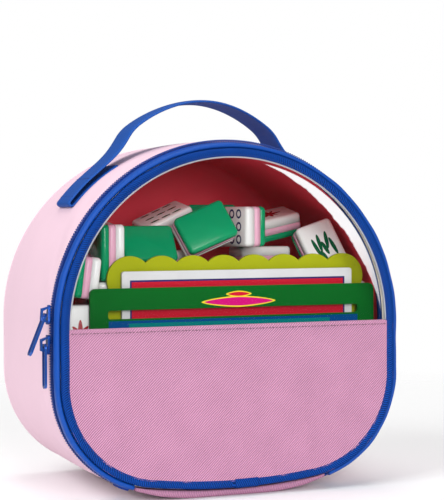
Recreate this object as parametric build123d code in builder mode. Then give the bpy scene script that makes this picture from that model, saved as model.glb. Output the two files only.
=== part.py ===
from build123d import *
import os
from math import acos, atan2, cos, degrees, hypot, radians, sin, sqrt

import numpy as np

# A soft-sided carrying case for a set of game tiles: a padded drum with a flat base, a zipped lid
# with a clear window over a canvas panel, a webbing handle, and the tiles and cards inside.
# Millimetres. X to the right, Y to the back, Z up. The origin is on the floor, under the middle.
# "Depth" is measured back from the face of the lid, and "grow" outwards from the lid's seam line.

# Seam line round the lid: a half circle, two straight sides, two corners and a shallow base arc
arch_radius = 91.0
side_height = 28.0
corner_radius = 52.0
base_radius = 345.0
foot_drop = 8.0            # from the seam line down to the floor
case_depth = 118.0
back_edge_radius = 9.0
hollow_bevel = 4.6         # inside the back's rounded edge
clearance = 0.3            # between pieces that move past each other
seam_gap = 0.1             # between pieces that are sewn face to face

# Lid
canvas_thickness = 1.0
canvas_back = 0.3
window_thickness = 0.6
window_depth = 0.35
window_overlap = 6.0       # of the window behind the canvas panel
seam_allowance = 3.0       # of the sheets inside the binding
binding_width = 4.2
binding_front = 1.3        # of the binding in front of the lid's face
binding_wall = 0.55
binding_bevel = 1.0
lid_edge_depth = 3.0       # back of the binding
join_length = 13.0
join_thickness = 0.6
seam_binding_grow = 4.0    # of the cream binding over the seam inside the lid
seam_binding_reach = 1.0
seam_binding_depth = 2.4
hem_width = 8.0
hem_thickness = 1.8

# Zip
tape_bulge = 8.0           # how far the lid's tape stands out past the seam line
tape_front = 0.3
tape_back = 8.3
tape_bevel = (2.2, 1.6)    # along the depth and along the grow
tape_thickness = 0.5
coil_low = 5.4
coil_high = 7.0
coil_width = 1.2
coil_channel = 1.2         # between the two coils, where the sliders' necks run
zip_half_width = 61.5      # half the distance between the zip's two ends

# Body
fabric_thickness = 1.6
fabric_grow = 6.5
fabric_setback = 1.0       # of the fabric's edge behind the zip's tape
foam_thickness = 1.8
lining_thickness = 0.35
lining_grow = 2.0
back_padding = 4.5         # from the back's fabric to the lining
back_binding_depth = 1.4
body_tape_depth = 12.0     # how far the body's tape reaches back under the fabric
mouth_depth = 1.1
mouth_reach = 3.5          # of the mouth's binding over the lining
base_flat = 20.0
tab_length = 5.0
tab_gap = 0.5              # from a tab to the base
tab_depth = 8.0
tab_thickness = 0.8

# Handle
webbing_width = 25.0
webbing_thickness = 1.5
handle_depth = 55.0        # middle of the webbing
handle_rise = 23.8928      # of the loop over the top of the fabric
crown_radius = 62.0
crown_angle = 38.0
shoulder_radius = 24.0
handle_foot_x = 53.6
handle_foot_lift = 2.6     # of the loop's foot above the fabric
foot_half_width = 1.8
foot_taper = 9.0
patch_length = 20.0
patch_thickness = 2.9

# Sliders and pulls
slider_length = 10.0
slider_plate = 1.2
slider_width = 4.8
slider_neck = 0.9
bridge_reach = 3.5
bridge_width = 1.6
bridge_thickness = 1.1
pull_length = 23.0
pull_width = 5.0
pull_rim = 1.3
pull_thickness = 1.3
upper_slider_turn = 4.4    # degrees above the arch's centre
lower_slider_drop = 7.7
upper_pull_tilt = 22.0

# Inner pocket of the lid
pocket_sheet_thickness = 0.4
pocket_tape_width = 11.0
pocket_coil_width = 1.2
pocket_coil_thickness = 1.3
pocket_coil_inset = 4.0
pocket_tape_inset = 1.2
pocket_slider_x = 78.0
pocket_slider_length = 8.0
pocket_slider_width = 6.4
pocket_plate = 0.9
pocket_bridge_reach = 2.5
pocket_pull_length = 17.0
pocket_pull_width = 4.6
pocket_pull_thickness = 1.0
pocket_leg_x = -2.6        # of the bridge's leg that carries the pull, from the slider's middle
pocket_pull_hole = (2.7, 3.6)
pocket_pull_hole_drop = 0.5

# Cards and tiles
green_card_sides = (15.5, 2.5)     # how far its left and right edges are inside the case's sides
green_card_height = 68.0
white_card_sides = (33.75, 14.75)
white_card_height = 76.6
lime_card_sides = (26.5, 6.5)
lime_card_height = 84.6
scallops_across = 8
scallops_up = 4
scallop_radius = 12.5
slot_margin = 9.7          # beside the green card's slot
slot_height = 4.6
slot_drop = 13.7           # from the green card's top to the middle of its slot
card_thickness = 2.0
card_gap = 0.8
first_card_depth = 13.4
tile_length = 30.0
tile_width = 22.0
tile_layers = (4.0, 3.8, 5.2)      # back, core and face
tile_bevel = 1.2

# Worked out from the sizes above
front = -case_depth / 2
corner_x = arch_radius - corner_radius
base_rise = sqrt((base_radius - corner_radius) ** 2 - corner_x**2)
corner_z = foot_drop + base_radius - base_rise
arch_z = corner_z + side_height
base_z = corner_z + base_rise
spread = degrees(atan2(corner_x, base_rise))
pocket_z = arch_z
base_half_width = zip_half_width - tab_length - tab_gap
lid_coil_depth = tape_back + seam_gap
chain_depth = lid_coil_depth + coil_width + coil_channel / 2
body_coil_depth = chain_depth + coil_channel / 2
body_tape_front = body_coil_depth + coil_width
fabric_front = body_tape_front + fabric_setback
fabric_low = fabric_grow - fabric_thickness
foam_grow = fabric_low - tape_thickness - 0.2
shell_end = case_depth - back_edge_radius - 1.0
hinge_depth = 2.3
hinge_z = hinge_depth + binding_front + join_thickness + seam_gap
tile_thickness = sum(tile_layers)


def depth_plane(depth):
    """Plane that faces the front, at a depth behind the lid's face."""
    return Plane(origin=(0, front + depth, 0), x_dir=(1, 0, 0), z_dir=(0, -1, 0))


def outline(grow, mode=Mode.ADD):
    """Face inside the case's outline, grown from the seam line."""
    arch, corner, base = (radius + grow for radius in (arch_radius, corner_radius, base_radius))
    with BuildLine() as edge:
        CenterArc((0, arch_z), arch, 0, 180)
        for side in (1, -1):
            Line((side * arch, arch_z), (side * arch, corner_z))
            CenterArc((side * corner_x, corner_z), corner, 90 - 90 * side, side * (spread - 90))
        CenterArc((0, base_z), base, 270 - spread, 2 * spread)
    make_face(edge.edges(), mode=mode)


def outside(x, z):
    """How far a point lies outside the seam line, or inside if it is negative."""
    x = abs(x)
    if z >= arch_z:
        return hypot(x, z - arch_z) - arch_radius
    if z >= corner_z:
        return x - arch_radius
    if atan2(x, base_z - z) < radians(spread):
        return hypot(x, base_z - z) - base_radius
    return hypot(x - corner_x, corner_z - z) - corner_radius


def ring(outer, inner, start, end, mode=Mode.ADD):
    """Band between two outlines, from one depth to another."""
    with BuildSketch(depth_plane(start)) as section:
        outline(outer)
        outline(inner, mode=Mode.SUBTRACT)
    extrude(section.sketch, amount=start - end, mode=mode)


def plate(grow, start, end, low=-case_depth, high=4 * arch_radius, mode=Mode.ADD):
    """Sheet inside an outline, between two depths and two heights."""
    with BuildSketch(depth_plane(start)) as section:
        outline(grow)
        with Locations((0, (low + high) / 2)):
            Rectangle(4 * arch_radius, high - low, mode=Mode.INTERSECT)
    extrude(section.sketch, amount=start - end, mode=mode)


def open_below(half_width):
    """Leave out the stretch of a ring between the zip's two ends."""
    Box(2 * half_width, 4 * case_depth, 6 * foot_drop, mode=Mode.SUBTRACT)


def rim_edges(part, grow, depth):
    """Edges that run along an outline at a depth."""
    def along(edge):
        middle = edge @ 0.5
        return abs(middle.Y - front - depth) < 0.01 and abs(outside(middle.X, middle.Z) - grow) < 0.05
    return part.edges().filter_by(along)


def save(piece, name):
    """Name a finished piece and write it."""
    piece.part.label = name
    export_step(piece.part, f"parts/{name}.step")


os.makedirs("parts", exist_ok=True)

# ---- Lid ----
with BuildPart() as lid_window:
    plate(seam_allowance, window_depth, window_depth + window_thickness, low=pocket_z - window_overlap)
save(lid_window, "lid_window")

with BuildPart() as lid_panel:
    plate(seam_allowance, canvas_back - canvas_thickness, canvas_back, high=pocket_z)
save(lid_panel, "lid_panel")

hem_depth = window_depth + window_thickness + seam_gap
with BuildPart() as lid_panel_hem:
    plate(-clearance, hem_depth, hem_depth + hem_thickness, low=pocket_z - hem_width, high=pocket_z)
save(lid_panel_hem, "lid_panel_hem")

with BuildPart() as lid_binding:
    ring(binding_width, 0, -binding_front, lid_edge_depth)
    ring(seam_allowance + seam_gap, -1, binding_wall - binding_front, hem_depth, mode=Mode.SUBTRACT)
    chamfer(rim_edges(lid_binding, binding_width, -binding_front), binding_bevel)
save(lid_binding, "lid_binding")

with BuildPart() as lid_binding_join:
    ring(binding_width, 0, -binding_front - join_thickness, -binding_front)
    with Locations((join_length / 2, 0, 0)):
        Box(join_length, 2 * case_depth, 6 * foot_drop, mode=Mode.INTERSECT)
save(lid_binding_join, "lid_binding_join")

flange_depth = lid_edge_depth + seam_gap
with BuildPart() as lid_zip_tape:
    ring(tape_bulge, binding_width + seam_gap, tape_front, tape_back)
    chamfer(rim_edges(lid_zip_tape, tape_bulge, tape_front), *tape_bevel)
    chamfer(rim_edges(lid_zip_tape, tape_bulge, tape_back), *tape_bevel)
    ring(binding_width + seam_gap, 0.8, flange_depth, flange_depth + tape_thickness)
    open_below(base_half_width - 1.7)
save(lid_zip_tape, "lid_zip_tape")

with BuildPart() as lid_zip_coil:
    ring(coil_high, coil_low, lid_coil_depth, lid_coil_depth + coil_width)
    open_below(zip_half_width)
save(lid_zip_coil, "lid_zip_coil")

sheet_depth = flange_depth + tape_thickness + seam_gap / 2
with BuildPart() as lid_seam_binding:
    ring(seam_binding_grow, -seam_binding_reach, sheet_depth + pocket_sheet_thickness + seam_gap / 2,
         sheet_depth + seam_binding_depth)
save(lid_seam_binding, "lid_seam_binding")

# Inner pocket: a frosted sheet under a straight zip across the lid's inside
pocket_coil_z = pocket_z - 2 - pocket_tape_width - pocket_coil_width
pocket_tape_depth = hem_depth + hem_thickness + seam_gap / 2
pocket_chain_z = pocket_coil_z - coil_channel / 2
lower_coil_z = pocket_chain_z - coil_channel / 2 - pocket_coil_width
coil_depths = (pocket_tape_depth, pocket_tape_depth + pocket_coil_thickness)
with BuildPart() as inner_zip_tape_upper:
    plate(-pocket_tape_inset, pocket_tape_depth, sheet_depth - seam_gap / 2,
          low=pocket_coil_z + pocket_coil_width + seam_gap / 2, high=pocket_z - 2)
save(inner_zip_tape_upper, "inner_zip_tape_upper")

with BuildPart() as inner_zip_tape_lower:
    plate(-pocket_tape_inset, pocket_tape_depth, sheet_depth - seam_gap / 2,
          low=lower_coil_z - pocket_tape_width, high=lower_coil_z - seam_gap / 2)
save(inner_zip_tape_lower, "inner_zip_tape_lower")

with BuildPart() as inner_zip_coil:
    for low in (pocket_coil_z, lower_coil_z):
        plate(-pocket_coil_inset, *coil_depths, low=low, high=low + pocket_coil_width)
save(inner_zip_coil, "inner_zip_coil")

with BuildPart() as inner_pocket_sheet:
    plate(seam_binding_grow - seam_gap, sheet_depth, sheet_depth + pocket_sheet_thickness,
          high=lower_coil_z - pocket_tape_width / 3)
save(inner_pocket_sheet, "inner_pocket_sheet")

with BuildPart() as inner_zip_slider:
    for near, far in ((coil_depths[0] - clearance - pocket_plate, coil_depths[0] - clearance),
                      (coil_depths[1] + clearance, coil_depths[1] + clearance + pocket_plate)):
        with BuildSketch(depth_plane(near)):
            with Locations((pocket_slider_x, pocket_chain_z)):
                RectangleRounded(pocket_slider_length, pocket_slider_width, 1.4)
        extrude(amount=near - far)
    with BuildSketch(depth_plane(coil_depths[0] - clearance)):
        with Locations((pocket_slider_x + 2, pocket_chain_z)):
            Rectangle(2.5, slider_neck - 0.3)
    extrude(amount=coil_depths[0] - coil_depths[1] - 2 * clearance)
    bridge_depth = coil_depths[1] + clearance + pocket_plate
    with BuildSketch(Plane(origin=(pocket_slider_x, front + bridge_depth, pocket_chain_z))):
        with BuildLine():
            Polyline((-3.2, 0), (-2.6, pocket_bridge_reach), (2.6, pocket_bridge_reach), (3.2, 0),
                     (2.3, 0), (1.9, 1.7), (-1.9, 1.7), (-2.3, 0), close=True)
        make_face()
    extrude(amount=0.7, both=True)
save(inner_zip_slider, "inner_zip_slider")

pocket_pull_depth = bridge_depth + clearance
with BuildPart() as inner_zip_pull:
    with BuildSketch(depth_plane(pocket_pull_depth)):
        with Locations((pocket_slider_x + pocket_leg_x, pocket_chain_z)):
            with Locations((0, pocket_bridge_reach - pocket_pull_length / 2)):
                RectangleRounded(pocket_pull_width, pocket_pull_length, 0.8)
            with Locations((0, -pocket_pull_hole_drop)):
                Rectangle(*pocket_pull_hole, mode=Mode.SUBTRACT)
    extrude(amount=-pocket_pull_thickness)
save(inner_zip_pull, "inner_zip_pull")

# ---- Body ----
with BuildPart() as gusset_shell:
    ring(fabric_grow, fabric_low, fabric_front, shell_end)
    open_below(base_half_width)
save(gusset_shell, "gusset_shell")

with BuildPart() as back_hollow:
    plate(fabric_low, shell_end, case_depth - fabric_thickness)
    chamfer(rim_edges(back_hollow, fabric_low, case_depth - fabric_thickness),
            hollow_bevel)

with BuildPart() as back_panel:
    plate(fabric_grow, shell_end + seam_gap, case_depth)
    fillet(rim_edges(back_panel, fabric_grow, case_depth), back_edge_radius)
    add(back_hollow.part, mode=Mode.SUBTRACT)
save(back_panel, "back_panel")


def floor_profile(inner, half_width):
    """Section of the base: flat on the floor, curving up to meet the gusset at each end."""
    outer_radius = corner_radius + fabric_grow
    end_z = corner_z - sqrt(outer_radius**2 - (half_width - corner_x) ** 2)
    with BuildLine() as edge:
        Line((-base_flat, 0), (base_flat, 0))
        for side in (1, -1):
            TangentArc((side * base_flat, 0), (side * half_width, end_z), tangent=(side, 0))
            Line((side * half_width, end_z), (side * half_width, 4 * foot_drop))
        Line((-half_width, 4 * foot_drop), (half_width, 4 * foot_drop))
    make_face(edge.edges())
    outline(inner, mode=Mode.SUBTRACT)


with BuildPart() as base_panel:
    with BuildSketch(depth_plane(fabric_front)):
        floor_profile(fabric_low, base_half_width - clearance)
    extrude(amount=fabric_front - shell_end)
save(base_panel, "base_panel")

hinge_front = lid_edge_depth + clearance
with BuildPart() as hinge_strip:
    with BuildSketch(depth_plane(hinge_front)):
        floor_profile(binding_width + clearance, base_half_width - 2)
    extrude(amount=hinge_front - fabric_front + seam_gap)
    fillet(hinge_strip.edges().filter_by(Axis.X).group_by(Axis.Z)[0].sort_by(Axis.Y)[0], 1.5)
save(hinge_strip, "hinge_strip")

lining_low = lining_grow + lining_thickness
lining_end = case_depth - fabric_thickness - back_padding
with BuildPart() as gusset_foam:
    ring(foam_grow, foam_grow - foam_thickness, body_tape_front + mouth_depth + 0.4, lining_end - 0.4)
save(gusset_foam, "gusset_foam")

with BuildPart() as gusset_lining:
    ring(lining_low, lining_grow, body_tape_front + mouth_depth + seam_gap, lining_end)
save(gusset_lining, "gusset_lining")

with BuildPart() as back_lining:
    plate(lining_grow - seam_gap / 2, lining_end + seam_gap, lining_end + seam_gap + lining_thickness)
save(back_lining, "back_lining")

with BuildPart() as back_foam:
    plate(fabric_low - back_edge_radius + fabric_thickness, lining_end + 0.2 + lining_thickness,
          case_depth - fabric_thickness - seam_gap)
save(back_foam, "back_foam")

with BuildPart() as back_seam_binding:
    ring(lining_grow - seam_gap / 2, -1.2, lining_end - back_binding_depth, lining_end)
save(back_seam_binding, "back_seam_binding")

with BuildPart() as mouth_binding:
    ring(foam_grow, lining_grow - 0.4, body_tape_front, body_tape_front + mouth_depth)
    ring(lining_grow - seam_gap / 2, lining_grow - 0.4, body_tape_front + mouth_depth,
         body_tape_front + mouth_depth + mouth_reach)
save(mouth_binding, "mouth_binding")

with BuildPart() as body_zip_tape:
    ring(fabric_low - seam_gap / 2, foam_grow + seam_gap, body_tape_front, body_tape_front + body_tape_depth)
    ring(fabric_grow - seam_gap, fabric_low - seam_gap / 2, body_tape_front, fabric_front - seam_gap)
    open_below(zip_half_width)
save(body_zip_tape, "body_zip_tape")

with BuildPart() as body_zip_coil:
    ring(coil_high, coil_low, body_coil_depth, body_tape_front - seam_gap / 2)
    open_below(zip_half_width)
save(body_zip_coil, "body_zip_coil")

with BuildPart() as zip_end_tabs:
    ring(coil_high + 0.4, fabric_grow + seam_gap, fabric_front, fabric_front + tab_depth)
    ring(coil_high + 0.4, fabric_low, chain_depth, fabric_front - seam_gap)
    ring(coil_high + 0.4, fabric_grow + seam_gap, fabric_front - seam_gap, fabric_front)
    tab_x = zip_half_width - clearance - tab_length / 2
    with Locations((tab_x, 0, 0), (-tab_x, 0, 0)):
        Box(tab_length, 2 * case_depth, 8 * foot_drop, mode=Mode.INTERSECT)
save(zip_end_tabs, "zip_end_tabs")

# ---- Handle ----
handle_plane = Plane(origin=(0, front + handle_depth, 0), x_dir=(1, 0, 0), z_dir=(0, -1, 0))
patch_low = fabric_grow + seam_gap
foot_z = arch_z + sqrt((arch_radius + fabric_grow) ** 2 - handle_foot_x**2) + handle_foot_lift


def handle_end(side, name):
    """Sewn end of the webbing, folded under itself along the gusset."""
    with BuildPart() as patch:
        with BuildSketch(handle_plane):
            with Locations((0, arch_z)):
                Circle(arch_radius + patch_low + patch_thickness)
                Circle(arch_radius + patch_low, mode=Mode.SUBTRACT)
            with Locations((side * (handle_foot_x + clearance + patch_length / 2), arch_z + arch_radius)):
                Rectangle(patch_length, 2 * arch_radius, mode=Mode.INTERSECT)
        extrude(amount=webbing_width / 2, both=True)
        fold = patch.edges().filter_by(Axis.Y).sort_by(Axis.X)
        fillet(fold[0:2] if side < 0 else fold[-2:], patch_thickness * 0.45)
    save(patch, name)


handle_end(-1, "handle_end_left")
handle_end(1, "handle_end_right")

crown_z = arch_z + arch_radius + fabric_grow + handle_rise - webbing_thickness / 2 - crown_radius
reach = crown_radius - shoulder_radius
shoulder_x = reach * sin(radians(crown_angle))
shoulder_z = crown_z + reach * cos(radians(crown_angle))
foot_x = handle_foot_x - webbing_thickness / 2
foot_span = hypot(foot_x - shoulder_x, foot_z - shoulder_z)
foot_run = sqrt(foot_span**2 - shoulder_radius**2)
tangent_angle = degrees(atan2(foot_z - shoulder_z, foot_x - shoulder_x) + acos(shoulder_radius / foot_span))


def webbing_line(grow):
    """One face of the loop: a crown, two shoulders and two straight legs, each tangent to the next."""
    CenterArc((0, crown_z), crown_radius + grow, 90 - crown_angle, 2 * crown_angle)
    out = Vector(cos(radians(tangent_angle)), sin(radians(tangent_angle)))
    radius = shoulder_radius + grow
    top = Vector(shoulder_x, shoulder_z) + out * radius
    foot = Vector(shoulder_x, shoulder_z) + out * radius + Vector(out.Y, -out.X) * foot_run
    for side in (1, -1):
        CenterArc((side * shoulder_x, shoulder_z), radius, 90 - side * crown_angle,
                  side * (tangent_angle + crown_angle - 90))
        Line((side * top.X, top.Y), (side * foot.X, foot.Y))
    return foot


with BuildPart() as handle_loop:
    with BuildSketch(handle_plane):
        with BuildLine():
            outer_foot = webbing_line(webbing_thickness / 2)
            inner_foot = webbing_line(-webbing_thickness / 2)
            for side in (1, -1):
                Line((side * outer_foot.X, outer_foot.Y), (side * inner_foot.X, inner_foot.Y))
        make_face()
    extrude(amount=webbing_width / 2, both=True)
    with BuildSketch(Plane.YZ):
        for side in (1, -1):
            edge = front + handle_depth
            with BuildLine():
                Polyline((edge + side * foot_half_width, foot_z - foot_taper),
                         (edge + side * foot_half_width, foot_z),
                         (edge + side * webbing_width / 2, foot_z + foot_taper),
                         (edge + side * webbing_width, foot_z + foot_taper),
                         (edge + side * webbing_width, foot_z - foot_taper), close=True)
            make_face()
    extrude(amount=arch_radius, both=True, mode=Mode.SUBTRACT)
save(handle_loop, "handle_loop")


# ---- Zip sliders and pulls ----
def chain_frame(turn=0.0, drop=0.0):
    """Frame on the zip's chain at the left side: X outwards, Y up along the chain, Z to the back."""
    middle = Plane(origin=(-arch_radius, front + chain_depth, arch_z - drop), x_dir=(-1, 0, 0),
                   z_dir=(0, 1, 0)).location
    return Pos(0, 0, arch_z) * Rot(0, turn, 0) * Pos(0, 0, -arch_z) * middle


def facing_plane(place, out):
    """Plane that faces outwards, a distance out from a frame."""
    return Plane(place * Location((out, 0, 0), (0, 90, 0)))


def zip_slider(place, wide, name):
    """Two plates round the chain, the neck between them at the wide end, and the bridge over them."""
    plate_low = coil_high + clearance
    bridge_low = plate_low + slider_plate
    end = slider_length / 2
    with BuildPart() as slider:
        for out, half in ((plate_low, slider_width / 2),
                          (coil_low - clearance - slider_plate, coil_width + coil_channel / 2 - 0.2)):
            narrow = 0.65 * half
            with BuildSketch(facing_plane(place, out)):
                with Locations((half - narrow, wide * (end - narrow)), (narrow - half, wide * (end - narrow)),
                               (0, wide * (narrow - end))):
                    Circle(narrow)
                make_hull()
            extrude(amount=slider_plate)
        with BuildSketch(Plane(place)):
            with Locations(((coil_low + coil_high) / 2, wide * (end - 2.7))):
                Rectangle(coil_high - coil_low + 2 * clearance + 0.2, 3.0)
        extrude(amount=slider_neck / 2, both=True)
        with BuildSketch(Plane(place)):
            with BuildLine():
                Polyline((bridge_low, -end + 0.8), (bridge_low + bridge_reach, -end + 2.0),
                         (bridge_low + bridge_reach, end - 2.0), (bridge_low, end - 0.8))
                Polyline((bridge_low, end - 0.8), (bridge_low, end - 0.8 - bridge_thickness),
                         (bridge_low + bridge_reach - bridge_thickness, end - 2.2 - bridge_thickness),
                         (bridge_low + bridge_reach - bridge_thickness, 2.2 + bridge_thickness - end),
                         (bridge_low, 0.8 + bridge_thickness - end), (bridge_low, 0.8 - end))
            make_face()
        extrude(amount=bridge_width / 2, both=True)
    save(slider, name)


def zip_pull(place, tilt, name):
    """Long closed loop that hangs from the bridge by its end."""
    pivot = place * Location((pull_out, 0, 0), (0, 0, tilt))
    with BuildPart() as pull:
        with BuildSketch(facing_plane(pivot, -pull_thickness / 2)):
            with Locations((0, (pull_rim - pull_length) / 2)):
                SlotOverall(pull_length, pull_width, rotation=90)
                SlotOverall(pull_length - 2 * pull_rim, pull_width - 2 * pull_rim, rotation=90,
                            mode=Mode.SUBTRACT)
        extrude(amount=pull_thickness)
    save(pull, name)


pull_out = coil_high + clearance + slider_plate + bridge_reach - bridge_thickness - 1.2
zip_slider(chain_frame(turn=upper_slider_turn), -1, "zip_slider_upper")
zip_slider(chain_frame(drop=lower_slider_drop), 1, "zip_slider_lower")
zip_pull(chain_frame(turn=upper_slider_turn), upper_pull_tilt - upper_slider_turn, "zip_pull_upper")
zip_pull(chain_frame(drop=lower_slider_drop), 0, "zip_pull_lower")

# ---- Tiles ----
cavity_grow = lining_grow - lining_thickness - 0.1 - clearance
cavity_front = body_tape_front + mouth_depth + 0.2
cavity_back = lining_end - back_binding_depth - clearance
drop_step = 3.0
placed = []                # centre, axes and half sizes of each box that lies in the case


def separation(one, two):
    """Widest gap between two boxes along the directions that can part them."""
    (centre, axes, half), (other_centre, other_axes, other_half) = one, two
    crosses = np.cross(axes[:, None], other_axes[None]).reshape(9, 3)
    lengths = np.linalg.norm(crosses, axis=1)
    tests = np.vstack([axes, other_axes, crosses[lengths > 1e-6] / lengths[lengths > 1e-6, None]])
    reach = np.abs(tests @ axes.T) @ half + np.abs(tests @ other_axes.T) @ other_half
    return np.max(np.abs(tests @ (other_centre - centre)) - reach)


def box_at(place, size):
    """A box's centre, axes and half sizes."""
    frame = Plane(place)
    axes = np.array([tuple(frame.x_dir), tuple(frame.y_dir), tuple(frame.z_dir)])
    return np.array(tuple(frame.origin)), axes, np.array(size) / 2


def fits(box):
    """True where a box lies inside the lining and clear of what lies there already."""
    centre, axes, half = box
    for signs in np.ndindex(2, 2, 2):
        x, y, z = centre + (half * (2 * np.array(signs) - 1)) @ axes
        if outside(x, z) > cavity_grow or not cavity_front < y - front < cavity_back:
            return False
    for other in placed:
        if np.linalg.norm(other[0] - centre) < np.linalg.norm(half) + np.linalg.norm(other[2]):
            if separation(box, other) < clearance:
                return False
    return True


def drop_tile(x, depth, turn=0.0, roll=0.0, lean=0.0, spin=0.0):
    """Lower a tile from the top of the case until it rests. Its face is up at zero angles. There
    are as many tiles as the case has room for."""
    attitude = Rot(0, 0, turn) * Rot(0, roll, 0) * Rot(lean, 0, 0) * Rot(0, 0, spin)

    def box(z):
        return box_at(Pos(x, front + depth, z) * attitude, (tile_length, tile_width, tile_thickness))

    starts = [z for z in np.arange(arch_z + arch_radius, 0, -drop_step) if fits(box(z))]
    if not starts:
        return
    height = starts[0]
    step = drop_step
    while step > 0.02:
        if fits(box(height - step)):
            height -= step
        else:
            step /= 2
    placed.append(box(height))
    tiles.append(Pos(x, front + depth, height) * attitude)


tiles = []
front_row_depth = cavity_front + tile_thickness / 2 + clearance
for column in range(-2, 3):
    drop_tile(column * (tile_width + 0.5), front_row_depth, lean=90, spin=90)
card_rest = max(centre[2] for centre, axes, half in placed) + tile_length / 2 + clearance
behind_front_row = cavity_front + tile_thickness + 2 * clearance + (tile_width + 0.6) / 2
for layer in range(2):
    for row in range(2):
        for column in range(-layer - 1, layer + 2):
            drop_tile(column * (tile_length + 0.6), behind_front_row + row * (tile_width + 0.6))

# ---- Cards ----


def card_across(sides):
    """Width and middle of a card whose edges stay inside the case's left and right sides."""
    left, right = sides
    return 2 * arch_radius - left - right, (left - right) / 2


white_card_depth = first_card_depth + card_thickness + card_gap
lime_card_depth = white_card_depth + card_thickness + card_gap
width, middle = card_across(green_card_sides)
with BuildPart() as green_card:
    with BuildSketch(depth_plane(first_card_depth)):
        with Locations((middle, card_rest + green_card_height / 2)):
            RectangleRounded(width, green_card_height, 3.0)
        with Locations((middle, card_rest + green_card_height - slot_drop)):
            RectangleRounded(width - 2 * slot_margin, slot_height, 1.5, mode=Mode.SUBTRACT)
    extrude(amount=-card_thickness)
save(green_card, "green_card")

width, middle = card_across(white_card_sides)
with BuildPart() as white_card:
    with BuildSketch(depth_plane(white_card_depth)):
        with Locations((middle, card_rest + white_card_height / 2)):
            RectangleRounded(width, white_card_height, 1.5)
    extrude(amount=-card_thickness)
save(white_card, "white_card")

width, middle = card_across(lime_card_sides)
with BuildPart() as lime_card:
    with BuildSketch(depth_plane(lime_card_depth)):
        with Locations((middle, card_rest + lime_card_height / 2)):
            reach_x, reach_z = (size / 2 - scallop_radius for size in (width, lime_card_height))
            pitch_x = 2 * reach_x / (scallops_across - 1)
            pitch_z = 2 * reach_z / (scallops_up - 1)
            notch_x = sqrt(scallop_radius**2 - pitch_z**2 / 4)
            notch_z = sqrt(scallop_radius**2 - pitch_x**2 / 4)
            Rectangle(2 * (reach_x + notch_x), 2 * reach_z)
            Rectangle(2 * reach_x, 2 * (reach_z + notch_z))
            with GridLocations(pitch_x, 2 * reach_z, scallops_across, 2):
                Circle(scallop_radius)
            with GridLocations(2 * reach_x, pitch_z, 2, scallops_up):
                Circle(scallop_radius)
    extrude(amount=-card_thickness)
save(lime_card, "lime_card")

for card in (green_card, white_card, lime_card):
    space = card.part.bounding_box()
    placed.append(box_at(Location(space.center()), tuple(space.size)))
behind_cards = lime_card_depth + card_thickness + 2 * clearance

# Stacks behind the cards: how many tiles lie flat on top of how many that stand on edge
first_row_depth = behind_cards + tile_width / 2
second_row_depth = first_row_depth + tile_width + 2 * clearance
for column, on_edge, flat in ((-53.6, 2, 2), (-23.2, 1, 4), (7.2, 0, 6), (37.6, 2, 2)):
    for index in range(on_edge):
        drop_tile(column, behind_cards + tile_thickness / 2, lean=90)
    for index in range(flat):
        drop_tile(column, first_row_depth)
for column, flat in ((-53.6, 6), (-23.2, 7), (7.2, 6), (37.6, 7), (68.4, 5)):
    for index in range(flat):
        drop_tile(column, second_row_depth)

# Tiles at both sides of the cards and in the window: x, depth, turn, roll, lean and spin
loose_tiles = [
    (59.6, 32.6, 0, -90, 0, 0),
    (59.6, 32.6, 0, -90, 0, 0),
    (80.0, 28.4, 0, 0, 90, 90),
    (77.7, 28.4, 0, 0, 90, 90),
    (-81.5, 28.0, 0, 90, 0, 0),
    (-79.9, 22.8, 0, 0, 90, 90),
    (-75.6, 31.0, 0, 97, 0, 90),
    (-60.0, 32.8, 0, 90, 0, 0),
    (-60.0, 58.0, 0, -28, 12, 0),
    (-37.8, 34.0, 0, 0, -122, 0),
    (-18.5, 58.5, 0, -24, 12, 0),
    (-5.0, 32.0, 0, -22, -112, 0),
    (19.8, 38.5, 10, -90, 0, 90),
    (13.4, 68.0, 0, 0, -115, 0),
    (45.2, 57.6, 0, -12, 12, 0),
    (65.5, 33.2, 0, -18, 68, 90),
]
loose_from = len(tiles)
for entry in loose_tiles:
    drop_tile(*entry)


def tile_layer(name, low, high, bevelled_face):
    """One coloured layer of every tile. Loose tiles have bevelled edges."""
    with BuildPart() as plain:
        with Locations((0, 0, (low + high) / 2)):
            Box(tile_length, tile_width, high - low)
    with BuildPart() as bevelled:
        add(plain.part)
        chamfer(bevelled.edges().filter_by(Axis.Z), tile_bevel)
        if bevelled_face is not None:
            chamfer(bevelled.faces().sort_by(Axis.Z)[bevelled_face].edges(), 0.7 * tile_bevel)
    with BuildPart() as layer:
        with Locations(*tiles[:loose_from]):
            add(plain.part)
        with Locations(*tiles[loose_from:]):
            add(bevelled.part)
    save(layer, name)


half_tile = tile_thickness / 2
core_low = tile_layers[0] - half_tile
core_high = core_low + tile_layers[1]
tile_layer("tile_backs", -half_tile, core_low, 0)
tile_layer("tile_cores", core_low, core_high, None)
tile_layer("tile_faces", core_high, half_tile, -1)
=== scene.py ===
from functools import reduce
from math import atan2, cos, pi, radians, sin, sqrt

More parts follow.
